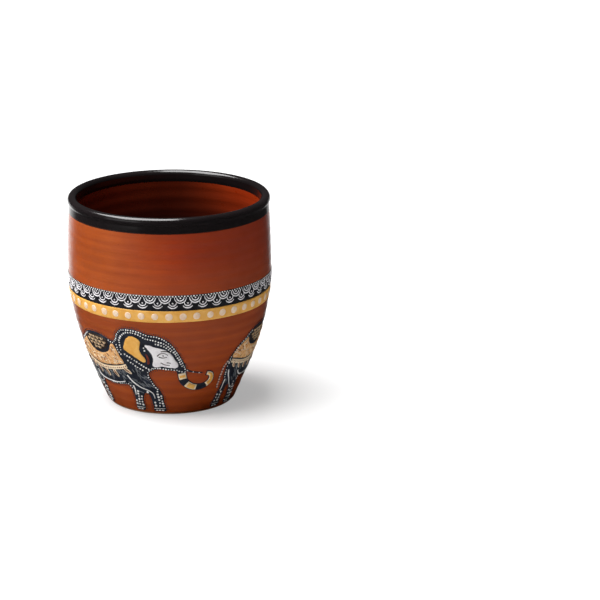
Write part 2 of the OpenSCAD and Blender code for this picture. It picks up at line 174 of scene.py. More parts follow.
# How far the brush marks keep from edges, and their heading and its spread, in degrees
CLOTH_MARK_MARGIN = 0.75
CLOTH_MARK_HEADING = (-25, 60)
BODY_MARK_MARGIN = 1.1
BODY_MARK_HEADING = (-50, 35)
BODY_MARK_COUNT = 70
BODY_MARK_LENGTH = 2.4
TOENAIL_RADIUS = 0.5
CUSHION_SCALE_RADIUS = 0.95
HAND_WOBBLE = 0.1
HAND_PITCH = 0.75

# How far hand work strays: places in millimetres, around the wall and up it, and sizes as shares
DOT_STRAY = (0.12, 0.1)
SCALE_STRAY = (0.05, 0.04)
EDGE_BEAD_STRAY = 0.03
DOT_SIZES = (0.93, 1.05)
LINE_SIZES = (0.85, 1.15)
HALO_SIZES = (0.8, 1.15)
ROW_BEAD_SIZES = (0.7, 1.12)
OUTLINE_BEAD_SIZES = (0.6, 0.95)
TUSK_BEAD_SIZES = (0.6, 0.8)
FRINGE_BEAD_SIZES = (0.6, 0.85)
TAIL_BEAD_SIZES = (0.85, 1.1)

# Mesh fineness
LATHE_SEGMENTS = 360
LATHE_STEP = 0.4
GRID_STEP = 1.1
CURVE_STEPS = 6
LIP_STEPS = 40
BAND_ROWS = 12
# The back of a glaze, and the clay, take one point in so many of the glazed surface
BACK_STEP = 6
CLAY_STEP = 4

# Slope of a print's edge, and how far a print runs down into the coat under it
PRINT_EDGE = 0.06
PRINT_ROOT = 0.03


def belly_share(u):
    return ((WALL_FULLNESS + 1) * u - u ** (WALL_FULLNESS + 1)) / WALL_FULLNESS


def wall(z):
    """Outer radius of the wall without its rings."""
    z = np.asarray(z, float)
    low = FOOT_RADIUS + (BELLY_RADIUS - FOOT_RADIUS) * belly_share(np.clip(z / BELLY_HEIGHT, 0, 1))
    high_share = np.clip((z - BELLY_HEIGHT) / (CUP_HEIGHT - BELLY_HEIGHT), 0, None)
    return np.where(z < BELLY_HEIGHT, low, BELLY_RADIUS - SHOULDER_DRAW * high_share ** 2)


def wall_slope(z):
    step = 0.01
    return (wall(z + step) - wall(z - step)) / (2 * step)


def ease(value, start, end):
    t = np.clip((value - start) / (end - start), 0, 1)
    return t * t * (3 - 2 * t)


def ring_wave(angle, z):
    """Height of the throwing rings, which are smoothed away at the foot, the bands and the lip."""
    a = np.radians(angle)
    wander = 0.35 * np.sin(a) + 0.2 * np.sin(2 * a + 0.8) + 0.12 * np.sin(3 * a + 0.15 * z)
    strength = 0.8 + 0.2 * np.sin(2 * a + 0.9 * z)
    lower = ease(z, GLAZE_EDGE, RING_START + RING_PITCH) * (1 - ease(z, OCHRE_BAND_LOW - 1, OCHRE_BAND_LOW))
    upper = ease(z, SCALE_BAND_TOP, SCALE_BAND_TOP + 1) * (1 - ease(z, RIM_LOW - RING_PITCH, RIM_LOW))
    height = lower + UPPER_RING_SHARE * upper
    return RING_DEPTH / 2 * strength * height * np.cos(2 * math.pi * (z - RING_START) / RING_PITCH + wander)


def on_wall(angle, z, lift):
    """Places on the wall, lifted square to it, as an array of metres."""
    angle, z, lift = (np.asarray(v, float) for v in (angle, z, lift))
    slope = wall_slope(z)
    length = np.sqrt(1 + slope ** 2)
    radius = wall(z) + ring_wave(angle, z) + lift / length
    a = np.radians(angle)
    return np.stack([radius * np.sin(a), -radius * np.cos(a), z - lift * slope / length], -1) * MM


def new_object(name, data):
    made = bpy.data.objects.new(name, data)
    bpy.context.scene.collection.objects.link(made)
    return made


def new_piece(name, points, faces, coat, nodes=()):
    """Makes a piece of a coat, which is a material and its slot, though only the material is used. It may
    stand for CAD nodes.
    """
    material, slot = coat
    mesh = bpy.data.meshes.new(name)
    mesh.from_pydata([tuple(p) for p in points], [], faces)
    mesh.validate()
    mesh.polygons.foreach_set("use_smooth", [True] * len(mesh.polygons))
    mesh.materials.append(material)
    piece = new_object(name, mesh)
    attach(piece, "root")
    if nodes:
        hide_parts(*nodes)


def ring_faces(rings, closed=False):
    """Faces between each ring of points and the next one. A ring may be a single point."""
    faces = []
    for low, high in zip(rings, rings[1:] + rings[:1] if closed else rings[1:]):
        count = max(len(low), len(high))
        if count == 1:
            continue
        for k, n in zip(range(count), [*range(1, count), 0]):
            if len(low) == len(high):
                faces.append((low[k], low[n], high[n], high[k]))
            elif len(low) == 1:
                faces.append((low[0], high[n], high[k]))
            else:
                faces.append((low[k], low[n], high[0]))
    return faces


def row_of_rings(rings, points):
    """Rings of so many points each, numbered on from one ring to the next."""
    return [range(k * points, (k + 1) * points) for k in range(rings)]


def lathe(name, profile, coat, node, wavy=None, closed=True):
    """Turns a profile of (radius, height) points round the axis.

    wavy moves a ring of points: it takes the angles and the index of the point, and returns
    how far the ring stands out and how far it rises, at each angle."""
    angles = np.arange(LATHE_SEGMENTS) * 360 / LATHE_SEGMENTS
    a = np.radians(angles)
    points, rings = [], []
    for index, (radius, z) in enumerate(profile):
        if radius == 0:
            rings.append([len(points)])
            points.append((0, 0, z * MM))
            continue
        out, up = wavy(angles, index) if wavy else (0, 0)
        r = radius + out + 0 * angles
        rings.append(range(len(points), len(points) + LATHE_SEGMENTS))
        points.extend(np.stack([r * np.sin(a), -r * np.cos(a), z + up + 0 * angles], -1) * MM)
    new_piece(name, points, ring_faces(rings, closed), coat, [node])


class Print:
    """One enamel colour: closed shells that lie on the wall, each from one lift to another."""

    def __init__(self, coat):
        self.low = coat * PRINT_THICKNESS - PRINT_ROOT
        self.high = (coat + 1) * PRINT_THICKNESS
        self.points = []
        self.faces = []

    def add(self, points, faces):
        start = len(self.points)
        self.points.extend(points)
        self.faces.extend(tuple(start + i for i in face) for face in faces)

    def disc(self, angle, z, radius, sides=10, crown=0.6):
        """A bead or dot with a rounded edge. crown is the share of the radius that is flat."""
        levels = ((radius, self.low), (radius, (self.low + self.high) / 2), (radius * crown, self.high))
        points = []
        for r, lift in levels:
            for k in range(sides):
                t = 2 * math.pi * k / sides
                points.append((*shifted((angle, z), (r * math.cos(t), r * math.sin(t))), lift))
        points.append((angle, z, self.high))
        rings = row_of_rings(len(levels), sides)
        self.add(points, [rings[0][::-1]] + ring_faces(rings + [[len(points) - 1]]))

    def ribbon(self, path, halves):
        """A line along a path of places. halves gives the half width at each of them."""
        points = []
        for i, (place, half) in enumerate(zip(path, halves)):
            side = side_of(path, i)
            top = max(half - PRINT_EDGE, half / 2)
            for share, lift in ((half, self.low), (top, self.high), (-top, self.high), (-half, self.low)):
                points.append((*shifted(place, (side[0] * share, side[1] * share)), lift))
        rings = row_of_rings(len(path), 4)
        self.add(points, ring_faces(rings) + [rings[0][::-1], rings[-1]])

    def patch(self, outlines):
        """The union of closed outlines, filled with triangles that follow the wall."""
        around = math.pi / 180 * BELLY_RADIUS
        loops = [np.array([(a * around, z) for a, z in loop]) for loop in outlines]
        flat = np.concatenate(loops)
        edges, start = [], 0
        for loop in loops:
            edges.extend((start + i, start + (i + 1) % len(loop)) for i in range(len(loop)))
            start += len(loop)

        def covered(at):
            return np.any([within(at, loop) for loop in loops], 0)

        low, high = flat.min(0), flat.max(0)
        grid = np.stack(np.meshgrid(np.arange(low[0], high[0], GRID_STEP),
                                    np.arange(low[1], high[1], GRID_STEP)), -1).reshape(-1, 2)
        grid = grid[covered(grid)]
        if len(grid):
            apart = np.sqrt(((grid[:, None] - flat[None]) ** 2).sum(-1)).min(1)
            grid = grid[apart > GRID_STEP / 2]
        flat = np.concatenate([flat, grid])
        at, _, triangles, *_ = delaunay_2d_cdt([Vector(p) for p in flat], edges, [], 0, 1e-5)
        at = np.array([tuple(p) for p in at])
        triangles = np.array(triangles)
        triangles = triangles[covered(at[triangles].mean(1))]

        # Boundary edges, with the side that the patch lies on
        directed = {(int(t[k]), int(t[(k + 1) % 3])) for t in triangles for k in range(3)}
        boundary = [(i, j) for i, j in directed if (j, i) not in directed]
        inward = np.zeros_like(at)
        for i, j in boundary:
            run = at[j] - at[i]
            normal = np.array([-run[1], run[0]]) / max(np.hypot(*run), 1e-6)
            inward[i] += normal
            inward[j] += normal
        size = np.hypot(inward[:, 0], inward[:, 1])[:, None]
        top = at + np.where(size > 0.3, inward / np.maximum(size, 1e-6) * PRINT_EDGE, 0)
        count = len(at)
        points = [(x / around, z, self.high) for x, z in top] + [(x / around, z, self.low) for x, z in at]
        faces = triangles.tolist() + (triangles[:, ::-1] + count).tolist()
        faces += [(j, i, i + count, j + count) for i, j in boundary]
        self.add(points, faces)

    def piece(self, name, coat, nodes=(), turns=TURNS):
        """Makes the piece, with a copy at each turn."""
        points, faces = [], []
        flat = np.array(self.points)
        for number, turn in enumerate(turns):
            points.append(on_wall(flat[:, 0] + turn, flat[:, 1], flat[:, 2]))
            faces.extend(tuple(number * len(flat) + i for i in face) for face in self.faces)
        new_piece(name, np.concatenate(points), faces, coat, nodes)


def within(at, loop):
    """Which of the points lie inside a closed loop."""
    inside = np.zeros(len(at), bool)
    for a, b in zip(loop, np.roll(loop, -1, 0)):
        crosses = (a[1] > at[:, 1]) != (b[1] > at[:, 1])
        rise = b[1] - a[1] if b[1] != a[1] else 1
        inside ^= crosses & (at[:, 0] < a[0] + (at[:, 1] - a[1]) * (b[0] - a[0]) / rise)
    return inside


def shifted(place, move):
    """A place on the wall moved by millimetres along the wall."""
    angle, z = place
    return angle + math.degrees(move[0] / float(wall(z))), z + move[1]


def nudged(place, rng, around, up):
    """A place moved at random, by up to so many millimetres around the wall and up it."""
    return shifted(place, (rng.uniform(-around, around), rng.uniform(-up, up)))


def side_of(path, i):
    """The direction to the left of a path at one of its places."""
    (a0, z0), (a1, z1) = path[max(i - 1, 0)], path[min(i + 1, len(path) - 1)]
    run = (math.radians(a1 - a0) * float(wall(path[i][1])), z1 - z0)
    length = math.hypot(*run) or 1
    return -run[1] / length, run[0] / length


def placed(point):
    """A place on the wall from shares of an elephant's span and height."""
    return ELEPHANT_SPAN * (point[0] - 1 / 2), FRIEZE_LOW + ELEPHANT_HEIGHT * point[1]


def along_curve(a, b, c, d, t):
    """A Catmull-Rom curve from b to c."""
    bend, twist = 2 * a - 5 * b + 4 * c - d, 3 * b - a - 3 * c + d
    return (2 * b + (c - a) * t + bend * t * t + twist * t ** 3) / 2


def curve(shares, closed=False):
    """A smooth line through points given as shares, as places on the wall."""
    p = [np.array(s) for s in shares]
    p = [p[-1], *p, *p[:2]] if closed else [p[0], *p, p[-1]]
    line = []
    for i in range(len(p) - 3):
        line.extend(along_curve(*p[i:i + 4], k / CURVE_STEPS) for k in range(CURVE_STEPS))
    return [placed(q) for q in (line if closed else line + p[-1:])]


def blend(a, b, t):
    return a + (b - a) * t


def taper(path, start, end):
    """Half widths along a path, from the one at its start to the one at its end."""
    last = len(path) - 1
    return np.array([blend(start, end, i / last) for i in range(last + 1)])


def beside(path, distance):
    """A path moved to its left, by one distance or by one for each place."""
    moved = []
    for i, (place, step) in enumerate(zip(path, np.broadcast_to(distance, len(path)))):
        x, y = side_of(path, i)
        moved.append(shifted(place, (x * step, y * step)))
    return moved


def stroke(path, start_half, end_half):
    """The outline of a line along a path, as wide at its start and end as the half widths say."""
    halves = taper(path, start_half, end_half)
    return beside(path, halves) + beside(path, -halves)[::-1]


def spot_on(path, share):
    step = share * (len(path) - 1)
    i = min(int(step), len(path) - 2)
    return tuple(blend(np.array(path[i]), np.array(path[i + 1]), step - i))


def stretch(path, from_share, to_share):
    steps = max(4, round((to_share - from_share) * (len(path) - 1)))
    return [spot_on(path, blend(from_share, to_share, k / steps)) for k in range(steps + 1)]


def spaced(path, pitch):
    """Places along a path, a pitch apart."""
    lengths = [0]
    for (a0, z0), (a1, z1) in zip(path, path[1:]):
        around = math.radians(a1 - a0) * float(wall((z0 + z1) / 2))
        lengths.append(lengths[-1] + math.hypot(around, z1 - z0))
    count = max(1, int(lengths[-1] / pitch))
    wanted = (np.arange(count) + 0.5) * lengths[-1] / count
    return list(zip(np.interp(wanted, lengths, [p[0] for p in path]),
                    np.interp(wanted, lengths, [p[1] for p in path])))


# Materials
def srgb(r, g, b):
    """A colour seen on screen, 0 to 255, as Blender's linear colour."""
    def linear(v):
        v /= 255
        return v / 12.92 if v <= 0.04045 else ((v + 0.055) / 1.055) ** 2.4
    return linear(r), linear(g), linear(b), 1


class Nodes:
    """The nodes of a new material or world. A value is a number, a vector or another node's output."""

    def __init__(self, name, owners=bpy.data.materials):
        self.owner = owners.new(name)
        self.owner.use_nodes = True
        self.tree = self.owner.node_tree
        self.shader = self.tree.nodes.get("Principled BSDF")
        self.place = self.new("TexCoord").outputs["Object"]

    def new(self, kind, inputs=None, **values):
        """A new node with its values set, and then its inputs, which are given by name or number."""
        node = self.tree.nodes.new("ShaderNode" + kind)
        for key, value in values.items():
            setattr(node, key, value)
        return self.fill(node, inputs or {})

    def fill(self, node, inputs):
        for key, value in inputs.items():
            if isinstance(value, bpy.types.NodeSocket):
                self.tree.links.new(value, node.inputs[key])
            else:
                node.inputs[key].default_value = value
        return node

    def sum(self, kind, operation, *values):
        """The outputs of a Math or a VectorMath node."""
        return self.new(kind, dict(enumerate(values)), operation=operation).outputs

    def noise(self, size, stretch=(1, 1, 1), detail=3, roughness=0.5):
        """Noise with features of a size in millimetres, drawn out along the axes by the stretch."""
        scale = [1 / (size * MM * s) for s in stretch]
        at = self.new("Mapping", {"Vector": self.place, "Scale": scale}).outputs["Vector"]
        values = {"Vector": at, "Scale": 1, "Detail": detail, "Roughness": roughness}
        return self.new("TexNoise", values).outputs["Fac"]

    def span(self, value, from_low, from_high, to_low=0.0, to_high=1.0):
        values = {"Value": value, "From Min": from_low, "From Max": from_high,
                  "To Min": to_low, "To Max": to_high}
        return self.new("MapRange", values, clamp=True).outputs["Result"]

    def along(self, axis, between, to_low=0.0, to_high=1.0):
        """A value that changes along X, Y or Z, between two places in millimetres."""
        value = self.new("SeparateXYZ", {0: self.place}).outputs[axis]
        return self.span(value, between[0] * MM, between[1] * MM, to_low, to_high)

    def times(self, first, second):
        return self.sum("Math", "MULTIPLY", first, second)[0]

    def wave(self, pitch, crest, wander, reach):
        """0 on the crests of rings a pitch apart, and 1 between them.
        wander moves them by up to reach turns."""
        turns = self.along("Z", (crest, crest + MOST_RINGS * pitch), 0, MOST_RINGS)
        moved = self.sum("Math", "MULTIPLY_ADD", wander, reach, turns)[0]
        return self.span(self.sum("Math", "COSINE", self.times(moved, 2 * math.pi))[0], 1, -1)

    def mix(self, factor, first, second):
        """Mixes two colours, each as seen on screen or as another node's output."""
        first, second = (srgb(*value) if isinstance(value, tuple) else value for value in (first, second))
        return self.new("Mix", {"Factor": factor, 6: first, 7: second}, data_type="RGBA").outputs[2]

    def by_ray(self, diffuse, camera, glossy):
        """One value for camera rays, one for glossy rays and one for the rest."""
        rays = self.new("LightPath").outputs
        picked = self.new("Mix", {0: rays["Is Glossy Ray"], 2: diffuse, 3: glossy}).outputs[0]
        return self.new("Mix", {0: rays["Is Camera Ray"], 2: picked, 3: camera}).outputs[0]

    def bump(self, height, distance, under=None):
        """A bump of a depth in millimetres."""
        values = {"Distance": distance * MM, "Height": height}
        if under is not None:
            values["Normal"] = under
        return self.new("Bump", values).outputs["Normal"]

    def finish(self, colour, normal, roughness, coat_roughness=0.1, ior=1.5):
        self.fill(self.shader, {"Base Color": colour, "Normal": normal, "Roughness": roughness,
                                "Coat Roughness": coat_roughness, "IOR": ior})
        return self.owner


def terracotta_glaze():
    """Satin red glaze: brushed round the cup on the wheel, with soft clouds and fine specks.
    Painted light and shade: more orange low down and on the lit side, and redder and darker high up on the
    shaded side."""
    n = Nodes("terracotta_satin_glaze")
    clouds = n.span(n.noise(14, detail=4), 0.35, 0.65)
    lit_orange = n.mix(clouds, (165, 75, 20), (180, 83, 25))
    shaded_red = n.mix(clouds, (165, 50, 6), (180, 58, 8))
    # Painted light and shade: orange on the lit side, red on the shaded side, most of all high up
    high = n.along("Z", PAINTED_SHADE_HEIGHT_SPAN, 0.2, 1)
    colour = n.mix(n.times(n.along("X", PAINTED_SHADE_SIDE_SPAN), high), lit_orange, shaded_red)
    # Painted shade: darker still on the right side, most of all high up
    painted_dark_side = n.along("X", (0, PAINTED_DARK_SIDE_X), 0, 0.5)
    colour = n.mix(n.times(painted_dark_side, high), colour, (120, 30, 4))
    # Painted shade of the throwing rings: darker in their hollows, more so below the bands
    ring_hollow_shade = n.wave(RING_PITCH, RING_START, n.noise(20, (1, 1, 4)), 0.25)
    low = n.along("Z", (OCHRE_BAND_LOW, OCHRE_BAND_LOW + RING_PITCH), 0.34, 0.07)
    colour = n.mix(n.times(ring_hollow_shade, low), colour, (140, 50, 14))
    streaks = n.span(n.noise(1.1, (30, 30, 1), detail=5), 0.3, 0.75, 0, 0.5)
    colour = n.mix(streaks, colour, (150, 55, 13))
    specks = n.span(n.noise(0.45, detail=1), 0.7, 0.78, 0, 0.4)
    colour = n.mix(specks, colour, (96, 36, 16))
    fine = n.bump(n.noise(0.7, (14, 14, 1), detail=4), 0.03)
    normal = n.bump(n.noise(2.4, detail=2), 0.04, under=fine)
    rough = n.span(n.noise(5, detail=3), 0.3, 0.7, 0.3, 0.38)
    edge = n.new("LayerWeight", {"Blend": 0.5}).outputs["Facing"]
    n.fill(n.shader, {"Coat Weight": n.span(edge, *EDGE_GLOSS_SPAN, 0, EDGE_GLOSS)})
    return n.finish(colour, normal, rough, coat_roughness=0.22, ior=1.42)


def liner_glaze():
    """Painted light makes it redder on one side, painted shade darkens it at the back and towards the
    floor, and it is satin down there.
    """
    n = Nodes("dark_red_liner_glaze")
    clouds = n.span(n.noise(16, detail=4), 0.35, 0.65)
    colour = n.mix(clouds, (146, 50, 20), (160, 58, 24))
    # Painted light: redder on the lit right side
    colour = n.mix(n.along("X", LINER_LIT_SPAN), colour, (186, 58, 16))
    # Painted shade: darker towards the floor
    colour = n.mix(n.along("Z", LINER_DEPTH_SHADE_SPAN, 0, 0.95), colour, (40, 12, 6))
    # Painted shade: darker in the middle of the back
    back_shade = n.times(n.along("X", LINER_SHADE_LEFT), n.along("X", LINER_SHADE_RIGHT))
    back_shade = n.times(back_shade, n.along("Y", LINER_SHADE_BACK, 0, LINER_BACK_SHADE))
    colour = n.mix(back_shade, colour, (14, 5, 3))
    streaks = n.span(n.noise(1.4, (30, 30, 1), detail=4), 0.3, 0.75, 0, 0.4)
    colour = n.mix(streaks, colour, (96, 30, 12))
    normal = n.bump(n.noise(1.2, (16, 16, 1), detail=2), 0.015)
    satin = n.along("Z", LINER_SATIN_SPAN, 0.3, 0.52)
    rough = n.times(n.span(n.noise(6, detail=3), 0.3, 0.7, 0.88, 1.12), satin)
    return n.finish(colour, normal, rough, ior=1.42)


def rim_glaze():
    """Black gloss that thins to brown where it ends on the red."""
    n = Nodes("black_gloss_glaze")
    thin = n.span(n.noise(5, (6, 6, 1), detail=4), 0.35, 0.7)
    colour = n.mix(thin, (19, 15, 16), (29, 24, 25))
    colour = n.mix(n.along("Z", (RIM_LOW + 0.4, RIM_LOW - 0.15)), colour, (88, 48, 34))
    normal = n.bump(n.noise(3, (5, 5, 1), detail=3), 0.04)
    rough = n.span(n.noise(7, detail=3), 0.3, 0.7, 0.14, 0.2)
    return n.finish(colour, normal, rough)


def bare_clay():
    """Dry clay with grit, turned on the wheel."""
    n = Nodes("bare_fired_clay")
    grain = n.noise(0.5, detail=5, roughness=0.7)
    colour = n.mix(n.span(grain, 0.35, 0.65), (190, 128, 88), (214, 158, 116))
    grit = n.span(n.noise(0.9, detail=2), 0.68, 0.75, 0, 0.7)
    colour = n.mix(grit, colour, (126, 74, 46))
    turned = n.noise(0.5, (20, 20, 1), detail=3)
    normal = n.bump(grain, 0.08, under=n.bump(turned, 0.06))
    return n.finish(colour, normal, n.span(grain, 0.3, 0.7, 0.75, 0.9))


def enamel(name, first, second, size, worn=None, wear=0.0, slot=None):
    """A coat of printed enamel in two close tones, thinner in places so that the worn colour shows.
    Its slot has the same name, unless another one is given."""
    n = Nodes(name + "_enamel")
    colour = n.mix(n.span(n.noise(size, detail=4, roughness=0.6), 0.35, 0.65), first, second)
    if worn:
        thin = n.span(n.noise(size * 0.7, detail=3), 0.62, 0.72, 0, wear)
        colour = n.mix(thin, colour, worn)
    normal = n.bump(n.noise(0.5, detail=2), 0.015)
    rough = n.span(n.noise(1.5, detail=2), 0.3, 0.7, 0.34, 0.46)
    return n.finish(colour, normal, rough), (slot or name) + "_enamel"


outer_coat = terracotta_glaze(), "outer_glaze"
liner_coat = liner_glaze(), "liner_glaze"
rim_coat = rim_glaze(), "rim_glaze"
clay = bare_clay(), "clay"
black_enamel = enamel("black", (24, 24, 30), (36, 36, 44), 2.2)
arc_enamel = enamel("grey_white", (236, 230, 234), (252, 250, 252), 0.9, (120, 112, 118), 0.5)
white_enamel = enamel("white", (244, 242, 238), (252, 251, 249), 0.9)
ochre_enamel = enamel("ochre", (240, 172, 68), (252, 192, 94), 3.0, (226, 150, 60), 0.5)
cream_enamel = enamel("cream", (248, 218, 174), (252, 234, 204), 0.9)
blue_black_enamel = enamel("blue_black", (26, 31, 44), (42, 50, 66), 2.5)
cloth_enamel = enamel("cloth", (226, 158, 90), (246, 198, 138), 1.6, (192, 118, 62), 0.7)
brown_enamel = enamel("brown", (44, 33, 28), (60, 46, 38), 1.5)
tan_enamel = enamel("tan", (232, 192, 142), (246, 216, 178), 0.8)
lilac_enamel = enamel("lilac", (236, 231, 234), (250, 247, 248), 2.2, (192, 186, 194), 0.45)
russet_enamel = enamel("russet", (120, 44, 30), (142, 58, 40), 0.8, slot="brown")


# Clay and glazes
def inner_radius(z):
    return float(wall(z)) - WALL_THICKNESS


def skin_points():
    """The glazed surface in three stretches: the outer wall, the lip, and the inside."""
    heights = np.arange(GLAZE_EDGE, RIM_LOW + GLAZE_OVERLAP, LATHE_STEP)
    outside = [(float(wall(z)), float(z)) for z in heights]
    lip_z = CUP_HEIGHT - LIP_BEAD_RADIUS
    centre = float(wall(lip_z)) + LIP_OVERHANG - LIP_BEAD_RADIUS
    bead = []
    for k in range(LIP_STEPS + 1):
        t = math.radians(LIP_START + LIP_TURN * k / LIP_STEPS)
        bead.append((centre + LIP_BEAD_RADIUS * math.cos(t), lip_z + LIP_BEAD_RADIUS * math.sin(t)))
    neck = [(float(wall(z)), z) for z in np.linspace(RIM_LOW, bead[0][1] - LIP_NECK, 6)]
    throat = [(inner_radius(z), z) for z in np.linspace(lip_z - LIP_THROAT, RIM_INSIDE_LOW, 4)]
    return outside, softened(neck + bead + throat), inside_points()


def softened(points, rounds=3):
    """Rounds the corners of a line and keeps its ends."""
    for _ in range(rounds):
        cut = [points[0]]
        for (r0, z0), (r1, z1) in zip(points, points[1:]):
            cut.append((blend(r0, r1, 0.25), blend(z0, z1, 0.25)))
            cut.append((blend(r0, r1, 0.75), blend(z0, z1, 0.75)))
        points = cut + [points[-1]]
    return points[::2]


def inside_points():
    heights = np.arange(RIM_INSIDE_LOW + GLAZE_OVERLAP, CORNER_TOP, -2 * LATHE_STEP)
    wall_part = [(inner_radius(z), float(z)) for z in heights]
    top = np.array([inner_radius(CORNER_TOP), CORNER_TOP])
    bend = np.array([inner_radius(FLOOR_Z), FLOOR_Z])
    end = bend - [CORNER_REACH, 0]
    corner = [tuple((1 - t) ** 2 * top + 2 * t * (1 - t) * bend + t * t * end)
              for t in np.linspace(0, 1, 16)]
    floor = [(r, FLOOR_Z) for r in np.linspace(end[0], 0, FLOOR_STEPS)[1:]]
    return wall_part + corner + floor


def offset_line(points, distance):
    """A line moved sideways, away from the glazed side."""
    p = np.array(points)
    run = np.gradient(p, axis=0)
    normal = np.stack([run[:, 1], -run[:, 0]], -1) / np.hypot(run[:, 0], run[:, 1])[:, None]
    return [tuple(q) for q in p + distance * normal]


def under_side(line, step):
    """Every few points of the line that a glaze meets the clay in."""
    points = offset_line(line, -GLAZE_THICKNESS)
    return points[::step] + ([points[-1]] if (len(points) - 1) % step else [])


outside, lip, inside = skin_points()


def build_outer_glaze():
    heights = [z for _, z in outside]

    def wavy(angles, index):
        return (ring_wave(angles, heights[index]), 0) if index < len(heights) else (0, 0)
    profile = outside + under_side(outside, BACK_STEP)[::-1]
    lathe("outer_glaze_coat", profile, outer_coat, "outer_glaze", wavy)


def rim_wander(angles):
    a = np.radians(angles)
    return RIM_WANDER * (np.sin(2 * a + 0.5) + 0.6 * np.sin(5 * a + 2) + 0.4 * np.sin(9 * a)) / 2


def build_rim_glaze():
    front = [(r, min(z, CUP_HEIGHT)) for r, z in offset_line(lip, RIM_LIFT)]

    def wavy(angles, index):
        if index == 0:
            return -RIM_LIFT, rim_wander(angles)
        return 0, rim_wander(angles + RIM_INSIDE_TURN) if index == len(front) - 1 else 0
    profile = front + under_side(lip, BACK_STEP)[::-1]
    lathe("rim_glaze_coat", profile, rim_coat, "rim_glaze", wavy)


def build_liner_glaze():
    back = under_side(inside, CLAY_STEP)[::-1]
    back[0] = (0, FLOOR_Z - GLAZE_THICKNESS)
    floor_reach = max(r for r, z in inside if z <= FLOOR_Z)

    def wavy(angles, index):
        if index >= len(inside):
            return 0, 0
        r, z = inside[index]
        if z <= FLOOR_Z:
            fade = ease(r, *FLOOR_RIPPLE_START) * (1 - ease(r, floor_reach - FLOOR_RIPPLE_END, floor_reach))
            spiral = 2 * math.pi * r / FLOOR_RIPPLE_PITCH + np.radians(angles)
            return 0, fade * FLOOR_RIPPLE * np.cos(spiral)
        fade = 1 - ease(z, RIM_INSIDE_LOW - RING_PITCH, RIM_INSIDE_LOW)
        spiral = 2 * math.pi * z / INSIDE_RING_PITCH + np.radians(angles)
        return fade * RING_DEPTH / 2 * np.cos(spiral), 0
    lathe("liner_glaze_coat", inside + back, liner_coat, "liner_glaze", wavy, closed=False)


def build_clay_body():
    ring_in = FOOT_RADIUS - FOOT_RING_WIDTH
    edge = FOOT_RADIUS - GLAZE_THICKNESS
    foot = [(0, FOOT_RECESS), (ring_in - FOOT_INNER_BEVEL - 0.4, FOOT_RECESS),
            (ring_in - FOOT_INNER_BEVEL, FOOT_RECESS - 0.1), (ring_in - 0.15, 0.12), (ring_in + 0.1, 0),
            (edge - FOOT_EDGE - 0.1, 0), (edge - FOOT_EDGE / 3, FOOT_EDGE / 4), (edge, FOOT_EDGE)]
    skin = [p for line in (outside, lip, inside) for p in under_side(line, CLAY_STEP)]
    skin = [(r, z) for r, z in skin if r > 0.5]
    profile = foot + skin + [(0, FLOOR_Z - GLAZE_THICKNESS)]
    lathe("fired_clay_body", profile, clay, "clay_body", closed=False)


build_clay_body()
build_outer_glaze()
build_liner_glaze()
build_rim_glaze()


# Bands
def build_band(name, low, high, coat, node, wander):
    front = [[z, PRINT_THICKNESS] for z in np.linspace(low, high, BAND_ROWS)]
    front[0][1] = front[-1][1] = PRINT_THICKNESS / 3
    rows = [(low, -PRINT_ROOT), *front, (high, -PRINT_ROOT)]
    angles = np.arange(LATHE_SEGMENTS) * 360 / LATHE_SEGMENTS
    drift = wander * (np.sin(np.radians(3 * angles + 40)) + 0.5 * np.sin(np.radians(11 * angles)))
    points = [on_wall(angles, z + drift * (high - z) / (high - low), lift + 0 * angles) for z, lift in rows]
    faces = ring_faces(row_of_rings(len(rows), LATHE_SEGMENTS), closed=True)
    new_piece(name, np.concatenate(points), faces, coat, [node])


def build_dots():
    rng = random.Random(11)
    dots = Print(1)
    for k in range(DOT_COUNT):
        angle = DOT_TURN + k * 360 / DOT_COUNT
        place = nudged((angle, (OCHRE_BAND_LOW + SCALE_BAND_LOW) / 2), rng, *DOT_STRAY)
        dots.disc(*place, DOT_RADIUS * rng.uniform(*DOT_SIZES), sides=22, crown=0.8)
    dots.piece("ochre_band_dots", dot_enamel, ["band_dots"], turns=[0])


def arc(angle, z, radius, half, start=180, end=360, steps=16):
    path = []
    for k in range(steps + 1):
        t = math.radians(blend(start, end, k / steps))
        path.append(shifted((angle, z), (radius * math.cos(t), radius * math.sin(t))))
    halves = [half * (0.55 + 0.45 * math.sin(math.pi * k / steps)) for k in range(steps + 1)]
    return path, halves


def build_scales(name, node, z, phase, seed, hidden=0):
    """A row of scales. Each outer line is cut off at both ends by the degrees that are hidden."""
    rng = random.Random(seed)
    rows = Print(1)
    for k in range(SCALE_COUNT):
        angle = (k + phase) * 360 / SCALE_COUNT
        place = nudged((angle, z), rng, *SCALE_STRAY)
        for line in range(LINES_PER_SCALE):
            radius = SCALE_RADIUS - SCALE_LINE / 2 - line * SCALE_LINE_PITCH
            half = SCALE_LINE / 2 * rng.uniform(*LINE_SIZES)
            cut = 0 if line else hidden
            rows.ribbon(*arc(*place, radius, half, 180 + cut, 360 - cut))
        rows.disc(*shifted(place, (0, -SCALE_SEED_RADIUS)), SCALE_SEED_RADIUS, sides=8)
    rows.piece(name, arc_enamel, [node], turns=[0])


def build_edge_beads():
    rng = random.Random(5)
    beads = Print(1)
    total = SCALE_COUNT * EDGE_BEADS_PER_SCALE
    for k in range(total):
        z = SCALE_BAND_TOP - 1.5 * EDGE_BEAD_RADIUS + rng.uniform(-EDGE_BEAD_STRAY, EDGE_BEAD_STRAY)
        beads.disc((k + 0.5) * 360 / total, z, EDGE_BEAD_RADIUS * rng.uniform(*LINE_SIZES), sides=8)
    beads.piece("scale_band_edge_beads", white_enamel, ["scale_edge_beads"], turns=[0])


